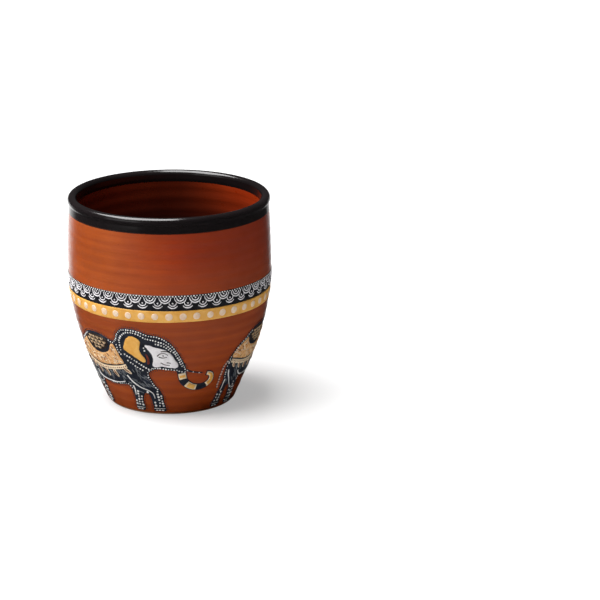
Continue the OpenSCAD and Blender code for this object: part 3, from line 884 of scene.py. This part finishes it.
dot_enamel = enamel("dot", (246, 208, 174), (252, 230, 204), 1.6, (228, 182, 130), 0.5, slot="cream")
build_band("ochre_band_print", OCHRE_BAND_LOW, SCALE_BAND_LOW, ochre_enamel, "ochre_band", 0.06)
build_band("scale_band_print", SCALE_BAND_LOW, SCALE_BAND_TOP, black_enamel, "scale_band", 0.0)
build_dots()
build_scales("scale_arcs_upper", "scale_rows_upper", SCALE_UPPER_Z, 0, 3)
build_scales("scale_arcs_lower", "scale_rows_lower", SCALE_LOWER_Z, 0.5, 4, SCALE_HIDDEN)
build_edge_beads()

# Elephants, walking to the right. Points are shares of the span and the height.
body_shares = [
    [0.06, 0.47], [0.064, 0.56], [0.088, 0.65], [0.125, 0.72], [0.165, 0.775], [0.2, 0.83],
    [0.245, 0.865], [0.3, 0.875], [0.35, 0.862], [0.385, 0.832], [0.408, 0.82], [0.427, 0.86],
    [0.442, 0.93], [0.472, 0.982], [0.517, 0.997], [0.567, 0.982], [0.608, 0.95], [0.655, 0.935],
    [0.698, 0.895], [0.735, 0.82], [0.765, 0.725], [0.789, 0.63], [0.808, 0.54], [0.806, 0.475],
    [0.775, 0.485], [0.742, 0.515], [0.7, 0.525], [0.658, 0.535], [0.624, 0.52], [0.6, 0.485],
    [0.606, 0.42], [0.628, 0.34], [0.655, 0.27], [0.672, 0.19], [0.678, 0.1], [0.689, 0.03],
    [0.68, 0.004], [0.645, 0.004], [0.606, 0.004], [0.594, 0.03], [0.592, 0.12], [0.582, 0.19],
    [0.562, 0.232], [0.543, 0.2], [0.533, 0.12], [0.536, 0.03], [0.527, 0.004], [0.498, 0.004],
    [0.468, 0.004], [0.46, 0.03], [0.468, 0.12], [0.466, 0.22], [0.448, 0.3], [0.4, 0.292], [0.33, 0.28],
    [0.265, 0.285], [0.226, 0.3], [0.214, 0.22], [0.217, 0.12], [0.226, 0.03], [0.217, 0.004],
    [0.185, 0.004], [0.15, 0.004], [0.142, 0.03], [0.146, 0.12], [0.138, 0.205], [0.118, 0.25],
    [0.102, 0.2], [0.093, 0.12], [0.09, 0.03], [0.08, 0.004], [0.052, 0.004], [0.022, 0.004],
    [0.018, 0.035], [0.034, 0.12], [0.052, 0.22], [0.062, 0.32], [0.058, 0.4]]
tail_shares = [[0.064, 0.56], [0.044, 0.5], [0.032, 0.4], [0.028, 0.3], [0.03, 0.24]]
trunk_shares = [
    [0.772, 0.6], [0.782, 0.49], [0.798, 0.385], [0.838, 0.322], [0.886, 0.3], [0.932, 0.315],
    [0.964, 0.372], [0.958, 0.44], [0.926, 0.462]]
tusk_shares = [[0.796, 0.535], [0.826, 0.505], [0.866, 0.484], [0.904, 0.468]]
cloth_shares = [
    [0.092, 0.585], [0.104, 0.652], [0.135, 0.7], [0.17, 0.745], [0.192, 0.765], [0.205, 0.715],
    [0.235, 0.665], [0.29, 0.64], [0.345, 0.66], [0.375, 0.71], [0.39, 0.77], [0.41, 0.785],
    [0.424, 0.72], [0.44, 0.64], [0.456, 0.575], [0.43, 0.555], [0.37, 0.53], [0.29, 0.51], [0.21, 0.52],
    [0.15, 0.548]]
cushion_shares = [
    [0.204, 0.785], [0.225, 0.825], [0.262, 0.845], [0.3, 0.85], [0.34, 0.84], [0.368, 0.815],
    [0.376, 0.775], [0.355, 0.715], [0.315, 0.68], [0.268, 0.678], [0.228, 0.71]]
ear_shares = [
    [0.474, 0.75], [0.482, 0.815], [0.494, 0.872], [0.516, 0.908], [0.548, 0.9], [0.568, 0.862],
    [0.566, 0.815], [0.56, 0.77], [0.566, 0.72], [0.582, 0.675], [0.589, 0.63], [0.576, 0.612],
    [0.545, 0.65], [0.508, 0.7]]
ear_side_shares = [[0.59, 0.72], [0.604, 0.69], [0.609, 0.63], [0.604, 0.595], [0.594, 0.6], [0.597, 0.65]]
face_shares = [
    [0.59, 0.815], [0.612, 0.82], [0.645, 0.8], [0.69, 0.775], [0.722, 0.73], [0.742, 0.665],
    [0.762, 0.59], [0.752, 0.555], [0.715, 0.56], [0.675, 0.575], [0.64, 0.565], [0.622, 0.585],
    [0.63, 0.66], [0.616, 0.745]]
face_line_shares = [
    [[0.652, 0.7], [0.668, 0.728], [0.69, 0.733], [0.708, 0.712]],
    [[0.66, 0.692], [0.68, 0.68], [0.702, 0.69]],
    [[0.672, 0.755], [0.7, 0.758], [0.722, 0.735]],
    [[0.668, 0.622], [0.69, 0.598], [0.716, 0.592]],
    [[0.7, 0.625], [0.722, 0.615]]]
pupil_share = [0.683, 0.706]
fringe_path_shares = [
    [0.09, 0.545], [0.15, 0.508], [0.21, 0.48], [0.29, 0.47], [0.37, 0.49], [0.432, 0.517],
    [0.468, 0.545]]
tassel_shares = [
    [0.118, 0.53, 0.128, 0.45], [0.17, 0.5, 0.184, 0.415], [0.23, 0.478, 0.248, 0.385],
    [0.3, 0.47, 0.32, 0.372], [0.366, 0.488, 0.392, 0.385], [0.44, 0.53, 0.492, 0.455]]
contour_shares = [
    [[0.186, 0.385], [0.198, 0.35], [0.226, 0.32], [0.29, 0.31], [0.37, 0.315], [0.432, 0.345]],
    [[0.085, 0.44], [0.104, 0.35], [0.13, 0.265], [0.154, 0.195]],
    [[0.078, 0.33], [0.074, 0.26], [0.064, 0.195]],
    [[0.458, 0.43], [0.48, 0.37], [0.53, 0.3], [0.58, 0.265], [0.606, 0.23], [0.614, 0.17]],
    [[0.482, 0.31], [0.488, 0.25], [0.486, 0.195]]]
bead_row_shares = [
    [[0.456, 0.72], [0.452, 0.79], [0.46, 0.87], [0.486, 0.935], [0.522, 0.953], [0.562, 0.935],
     [0.6, 0.895], [0.65, 0.872], [0.695, 0.835], [0.733, 0.755], [0.762, 0.655], [0.784, 0.56]],
    [[0.432, 0.8], [0.434, 0.73], [0.452, 0.665]],
    [[0.466, 0.69], [0.515, 0.638], [0.562, 0.575], [0.606, 0.53]],
    [[0.478, 0.62], [0.53, 0.555], [0.572, 0.508]],
    [[0.612, 0.545], [0.65, 0.553], [0.7, 0.54], [0.745, 0.53], [0.79, 0.5]],
    [[0.582, 0.8], [0.59, 0.74]],
    [[0.64, 0.845], [0.69, 0.81], [0.728, 0.745]],
    [[0.094, 0.63], [0.13, 0.71], [0.168, 0.765]],
    [[0.074, 0.5], [0.078, 0.57]]]
leg_bead_row_shares = [
    [[0.632, 0.28], [0.64, 0.17], [0.644, 0.06]], [[0.654, 0.22], [0.662, 0.13], [0.668, 0.06]],
    [[0.612, 0.14], [0.614, 0.06]], [[0.582, 0.23], [0.56, 0.255]],
    [[0.508, 0.26], [0.5, 0.16], [0.498, 0.06]], [[0.524, 0.2], [0.52, 0.12], [0.518, 0.06]],
    [[0.48, 0.14], [0.477, 0.06]], [[0.16, 0.22], [0.162, 0.15], [0.164, 0.06]],
    [[0.182, 0.27], [0.182, 0.15], [0.184, 0.06]], [[0.203, 0.2], [0.203, 0.06]],
    [[0.052, 0.17], [0.046, 0.1], [0.04, 0.06]], [[0.08, 0.19], [0.072, 0.11], [0.066, 0.06]]]
ankle_shares = [[0.598, 0.678], [0.466, 0.53], [0.148, 0.218], [0.026, 0.088]]
ankle_height_share = 0.042
tassel_bend_share = 0.004
trunk_band_shares = [[0.13, 0.21], [0.3, 0.47], [0.64, 0.97]]
toenail_shares = [0.616, 0.638, 0.66, 0.482, 0.506, 0.163, 0.187, 0.036, 0.06]
cushion_top_share = [0.29, 0.825]
cushion_step_share = [0.03, -0.037]
cushion_row_counts = [4, 5, 4, 2]

body_line = curve(body_shares, True)
ear_side = curve(ear_side_shares, True)
trunk = curve(trunk_shares)
tusk = curve(tusk_shares)
tail = curve(tail_shares)


def line_print(coat, paths, start_half, end_half):
    lines = Print(coat)
    for path in paths:
        lines.ribbon(path, taper(path, start_half, end_half))
    return lines


def leaf(path, half):
    """A path and half widths that make a leaf, pointed at both ends."""
    last = len(path) - 1
    return path, [half * max(0.12, math.sin(math.pi * min(0.96, 0.1 + 0.86 * i / last)) ** 0.8)
                  for i in range(last + 1)]


def hand_cut(outline, seed):
    """An outline as a brush leaves it: points a pitch apart, each a little out of line."""
    rng = random.Random(seed)
    places = spaced(outline + outline[:1], HAND_PITCH)
    return [nudged(place, rng, HAND_WOBBLE, HAND_WOBBLE) for place in places]


def gaps(place, places):
    """Distances from a place to others, in millimetres along the wall."""
    others = np.array(places)
    around = np.radians(others[:, 0] - place[0]) * float(wall(place[1]))
    return np.hypot(around, others[:, 1] - place[1])


def apart(place, places):
    return float(gaps(place, places).min())


def scattered(outline, avoid, margin, count, seed):
    """Random places in an outline, a margin away from its edge and from the outlines to avoid."""
    rng = random.Random(seed)
    low, high = np.min(outline, 0), np.max(outline, 0)
    found = []
    for _ in range(40 * count):
        if len(found) == count:
            break
        place = rng.uniform(low[0], high[0]), rng.uniform(low[1], high[1])
        at = np.array([place])
        if not within(at, np.array(outline))[0] or apart(place, outline) < margin:
            continue
        if any(within(at, np.array(other))[0] or apart(place, other) < margin for other in avoid):
            continue
        found.append(place)
    return found


def brush_marks(coat, places, heading, spread, length, half, seed):
    """Short curved marks of a brush at the places, each turned at random about a heading in degrees."""
    rng = random.Random(seed)
    marks = Print(coat)
    for place in places:
        turn = math.radians(heading + rng.uniform(-spread, spread))
        bend = rng.uniform(-0.5, 0.5)
        size = length * rng.uniform(0.6, 1.2)
        path = []
        for k in range(6):
            t = k / 5 - 0.5
            x, y = size * t, size * bend * (t * t - 0.08)
            path.append(shifted(place, (x * math.cos(turn) - y * math.sin(turn),
                                        x * math.sin(turn) + y * math.cos(turn))))
        marks.ribbon(*leaf(path, half * rng.uniform(0.7, 1.25)))
    return marks


body, cloth, cushion, ear, face = (
    hand_cut(curve(shares, True), seed) for seed, shares in
    enumerate((body_shares, cloth_shares, cushion_shares, ear_shares, face_shares), 21))
fringe = curve(fringe_path_shares)
contours = [curve(shares) for shares in contour_shares]
tassels = [curve([(x0, y0), ((x0 + x1) / 2 - tassel_bend_share, (y0 + y1) / 2), (x1, y1)])
           for x0, y0, x1, y1 in tassel_shares]


def build_silhouettes():
    bodies = Print(0)
    bodies.patch([body, stroke(trunk, TRUNK_ROOT_HALF, TRUNK_TIP_HALF), stroke(tail, TAIL_HALF, TAIL_HALF)])
    bodies.piece("elephant_silhouettes", blue_black_enamel, ["elephant_bodies"])

    halo = Print(0)
    rng = random.Random(31)
    for place in spaced(beside(body_line, HALO_DISTANCE), HALO_PITCH):
        if place[1] > HALO_LOW and min(apart(place, trunk) - TRUNK_ROOT_HALF, apart(place, body),
                                       apart(place, tail) - TAIL_HALF) > HALO_RADIUS:
            halo.disc(*place, HALO_RADIUS * rng.uniform(*HALO_SIZES), sides=7)
    halo.piece("halo_dot_prints", blue_black_enamel)

    tusks = line_print(0, [tusk], TUSK_HALF, TUSK_HALF / 2)
    tusks.piece("tusk_prints", blue_black_enamel)


def build_colour_patches():
    for name, outline, coat, nodes in (
            ("saddle_cloth_prints", cloth, cloth_enamel, ["saddle_cloths"]),
            ("saddle_cushion_prints", cushion, brown_enamel, ["saddle_cushions"]),
            ("ear_prints", ear, ochre_enamel, ["ear_patches"]),
            ("face_prints", face, lilac_enamel, ["face_patches"]),
            ("ear_side_prints", ear_side, russet_enamel, [])):
        patches = Print(1)
        patches.patch([outline])
        patches.piece(name, coat, nodes)

    features = line_print(2, map(curve, face_line_shares), 1.6 * MARK_HALF, MARK_HALF)
    features.disc(*placed(pupil_share), 2.2 * MARK_HALF)
    features.piece("face_line_prints", brown_enamel)


def build_fringes():
    fringes = line_print(1, [fringe], FRINGE_HALF, FRINGE_HALF)
    hearts = Print(2)
    for path in tassels:
        fringes.ribbon(*leaf(path, TASSEL_HALF))
        hearts.ribbon(*leaf(stretch(path, 0.25, 0.85), TASSEL_HALF / 2.6))
    fringes.piece("cloth_fringe_prints", cream_enamel, ["cloth_fringes"])
    rng = random.Random(33)
    for place in spaced(fringe, BEAD_PITCH):
        hearts.disc(*place, BEAD_RADIUS * rng.uniform(*FRINGE_BEAD_SIZES), sides=8)
    hearts.piece("fringe_heart_prints", russet_enamel)


def build_brush_marks():
    for name, coat, count, length, half, seed in (
            ("cloth_light_marks", cream_enamel, 44, 2.1, 1.5 * MARK_HALF, 41),
            ("cloth_dark_marks", russet_enamel, 26, 1.6, 1.2 * MARK_HALF, 43)):
        places = scattered(cloth, [], CLOTH_MARK_MARGIN, count, seed)
        brush_marks(2, places, *CLOTH_MARK_HEADING, length, half, seed + 1).piece(name, coat)
    bare = [cloth, cushion, ear, face, ear_side, *tassels, *contours,
            *map(curve, bead_row_shares + leg_bead_row_shares), trunk, fringe]
    places = scattered(body, bare, BODY_MARK_MARGIN, BODY_MARK_COUNT, 45)
    grey = brush_marks(1, places, *BODY_MARK_HEADING, BODY_MARK_LENGTH, MARK_HALF, 46)
    grey.piece("body_brush_marks", mark_enamel)


def build_trunk_bands():
    edges, bands = Print(1), Print(2)
    for first, last in trunk_band_shares:
        for part, inset, ends in ((edges, PATCH_MARGIN, 0), (bands, PATCH_MARGIN + BAND_BORDER, 0.025)):
            path = stretch(trunk, first + ends, last - ends)
            start, end = (blend(TRUNK_ROOT_HALF, TRUNK_TIP_HALF, share) - inset for share in (first, last))
            part.ribbon(path, taper(path, start, end))
    edges.piece("trunk_band_edges", cream_enamel)
    bands.piece("trunk_band_prints", ochre_enamel, ["trunk_bands"])


def build_line_work():
    lines = line_print(1, contours, CONTOUR_HALF, CONTOUR_HALF / 2)
    for first, last in ankle_shares:
        lines.ribbon([placed((blend(first, last, k / 4), ankle_height_share)) for k in range(5)],
                     [MARK_HALF] * 5)
    lines.piece("contour_line_prints", white_enamel, ["contour_lines"])

    scales = Print(2)
    for row, count in enumerate(cushion_row_counts):
        for k in range(count):
            place = placed((cushion_top_share[0] + (k - (count - 1) / 2) * cushion_step_share[0],
                            cushion_top_share[1] + row * cushion_step_share[1]))
            for radius in (CUSHION_SCALE_RADIUS, CUSHION_SCALE_RADIUS / 2):
                scales.ribbon(*arc(*place, radius - MARK_HALF, MARK_HALF, steps=8))
    scales.piece("cushion_scale_prints", tan_enamel, ["cushion_scales"])


def build_beads():
    beads = Print(1)
    rng = random.Random(8)
    taken, radii = [], []

    def put(place, radius):
        place = nudged(place, rng, BEAD_JITTER, BEAD_JITTER)
        if taken and (gaps(place, taken) - radii).min() < radius:
            return
        taken.append(place)
        radii.append(radius)
        beads.disc(*place, radius)

    for rows, radius, pitch in ((leg_bead_row_shares, LEG_BEAD_RADIUS, LEG_BEAD_PITCH),
                                (bead_row_shares, BEAD_RADIUS, BEAD_PITCH)):
        for row in rows:
            for place in spaced(curve(row), pitch):
                put(place, radius * rng.uniform(*ROW_BEAD_SIZES))
    clear = [cloth, cushion, ear, face, fringe, trunk, *tassels, *contours]
    for place in spaced(beside(body_line, -BEAD_INSET), BEAD_PITCH):
        if place[1] > LEG_TOP and all(apart(place, other) > 1.5 * BEAD_RADIUS for other in clear):
            put(place, BEAD_RADIUS * rng.uniform(*OUTLINE_BEAD_SIZES))
    for place in spaced(tusk, 2 * BEAD_PITCH):
        put(place, BEAD_RADIUS * rng.uniform(*TUSK_BEAD_SIZES))
    beads.piece("bead_prints", white_enamel, ["beads"])

    tails = Print(1)
    for place in spaced(tail, BEAD_PITCH):
        tails.disc(*place, TAIL_BEAD_RADIUS * rng.uniform(*TAIL_BEAD_SIZES))
    tails.piece("tail_bead_prints", rose_enamel)

    nails = Print(1)
    for share in toenail_shares:
        angle, _ = placed((share, 0))
        path, _ = arc(angle, FRIEZE_LOW + TOENAIL_RADIUS, TOENAIL_RADIUS, 0, 0, 180, 8)
        nails.patch([path])
    nails.piece("toenail_prints", white_enamel, ["toenails"])


mark_enamel = enamel("grey_mark", (112, 118, 126), (148, 152, 156), 0.7, slot="grey_white")
rose_enamel = enamel("rose", (196, 140, 124), (226, 196, 182), 0.7, slot="cream")
build_silhouettes()
build_colour_patches()
build_fringes()
build_brush_marks()
build_trunk_bands()
build_line_work()
build_beads()


# Floor, light and camera
CAMERA_PLACE = (49.3, -957.6, 327.9)
CAMERA_TILT = 16.86
CAMERA_LENS = 157.8
SENSOR_WIDTH = 36.0
FLOOR_HALF = 6000.0
# How much of the light the floor gives back to diffuse and to camera rays, and to glossy ones
# round the cup and on its far left
FLOOR_DIFFUSE = 0.56
FLOOR_CAMERA = 0.53
# Glossy rays see the floor dim round the cup and bright on its far left: a painted reflection, a pale sheen
# on the cup's left edge
FLOOR_GLOSSY_SPAN = (0.02, 1.0)
FLOOR_FAR_LEFT = (-0.18, 1.0, 0.0)
FLOOR_FAR_LEFT_SPAN = (0.72, 1.02)
# The glow that lifts the floor to white, and the distances, in metres, between which it grows
FLOOR_GLOW = 0.39
FLOOR_GLOW_REACH = (0.35, 1.6)
KEY_LIGHT = {"azimuth": -87.0, "elevation": 71.0, "distance": 1400.0, "size": 1200.0, "power": 49.0}
SIDE_CARD = {"azimuth": -50.0, "elevation": 9.0, "distance": 700.0, "size": 500.0, "power": 0.6}
# The world's light for diffuse, camera and glossy rays
WORLD_LIGHT = (0.04, 1.0, 0.04)


def build_floor():
    """A white table. The camera sees it a little lifted, with its shadow, and gloss sees it dim."""
    n = Nodes("white_floor")
    n.tree.nodes.remove(n.shader)
    direction = n.sum("VectorMath", "NORMALIZE", n.place)[0]
    # Painted reflection: the floor is dim to glossy rays round the cup and bright on its far left
    far_left = n.sum("VectorMath", "DOT_PRODUCT", direction, FLOOR_FAR_LEFT)["Value"]
    gloss = n.span(far_left, *FLOOR_FAR_LEFT_SPAN, *FLOOR_GLOSSY_SPAN)
    far_glow = n.span(n.sum("VectorMath", "LENGTH", n.place)["Value"], *FLOOR_GLOW_REACH, FLOOR_GLOW, 1)
    diffuse = n.new("BsdfDiffuse", {"Color": n.by_ray(FLOOR_DIFFUSE, FLOOR_CAMERA, gloss)}).outputs[0]
    glow = n.new("Emission", {"Strength": n.by_ray(0, far_glow, 0)}).outputs[0]
    both = n.new("AddShader", {0: diffuse, 1: glow}).outputs[0]
    n.fill(n.tree.nodes["Material Output"], {"Surface": both})
    half = FLOOR_HALF * MM
    corners = [(-half, -half, 0), (half, -half, 0), (half, half, 0), (-half, half, 0)]
    mesh = bpy.data.meshes.new("studio_floor")
    mesh.from_pydata(corners, [], [(0, 1, 2, 3)])
    mesh.materials.append(n.owner)
    floor = new_object("studio_floor", mesh)


def area_light(name, azimuth, elevation, distance, size, power):
    """A soft box that faces the cup. Its azimuth counts from the front towards +X."""
    light = bpy.data.lights.new(name, "AREA")
    light.shape = "SQUARE"
    light.size = size * MM
    light.energy = power
    a, e = math.radians(azimuth), math.radians(elevation)
    toward = Vector((math.sin(a) * math.cos(e), -math.cos(a) * math.cos(e), math.sin(e)))
    lamp = new_object(name, light)
    lamp.location = toward * distance * MM
    lamp.rotation_euler = toward.to_track_quat("Z", "Y").to_euler()
    lamp.visible_camera = False


def build_light():
    """A white world for the camera, a key light from above on the left, and a card low on the left."""
    n = Nodes("studio_world", bpy.data.worlds)
    n.fill(n.tree.nodes["Background"], {"Color": (1, 1, 1, 1), "Strength": n.by_ray(*WORLD_LIGHT)})
    bpy.context.scene.world = n.owner
    area_light("key_light", **KEY_LIGHT)
    area_light("side_card", **SIDE_CARD)


def build_camera():
    data = bpy.data.cameras.new("photo_camera")
    data.sensor_width = SENSOR_WIDTH
    data.lens = CAMERA_LENS
    camera = new_object("photo_camera", data)
    camera.location = Vector(CAMERA_PLACE) * MM
    camera.rotation_euler = (math.radians(90 - CAMERA_TILT), 0, 0)
    bpy.context.scene.camera = camera


build_floor()
build_light()
build_camera()
bpy.context.scene.view_settings.view_transform = "Standard"
